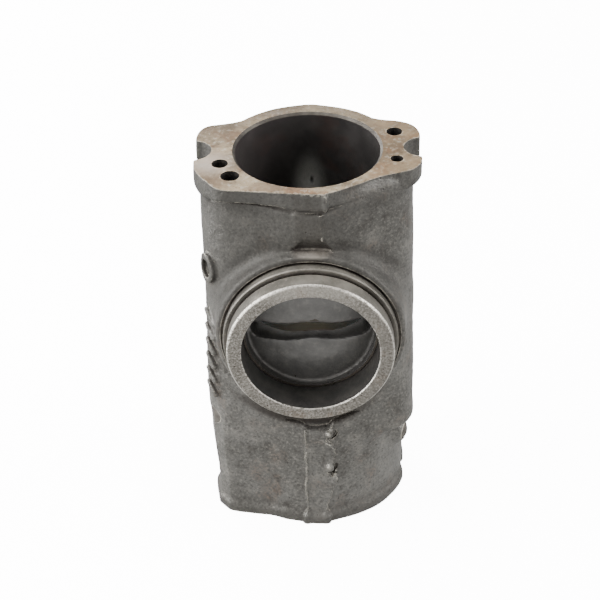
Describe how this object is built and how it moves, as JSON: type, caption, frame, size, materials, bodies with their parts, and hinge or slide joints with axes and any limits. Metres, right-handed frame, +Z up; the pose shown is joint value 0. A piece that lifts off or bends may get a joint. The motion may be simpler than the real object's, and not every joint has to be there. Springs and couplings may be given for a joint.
{
  "type": "rock drill cylinder",
  "caption": "Upright forged cylinder body with a through bore, a lobed end flange with side rod notches, a slotted wall port inside a round turned exhaust stub, and a bush in the lower end.",
  "frame": {"origin": "middle of the base of the object's box, on the surface that it stands on", "axes": "+Z up along the bore to the flange face, -Y to the front where the exhaust stub points, +X to the right"},
  "size_m": [0.109, 0.1018, 0.204],
  "materials": {
    "forging": "as forged, dark warm grey, with machined faces and light surface rust",
    "turned_steel": "turned, worn, with small pits and a brown patina",
    "bush_bronze": "turned bronze, oily",
    "pin_steel": "dull, peened over",
    "plug_steel": "dull, pressed in flush"
  },
  "bodies": {
    "root": {"cylinder_body": "forging", "exhaust_stub": "turned_steel", "front_guide_bush": "bush_bronze", "guide_bush_lock_pin": "pin_steel", "passage_plug_left_side": "plug_steel", "passage_plug_left_front": "plug_steel", "passage_plug_right_rear": "plug_steel"}
  },
  "joints": []
}
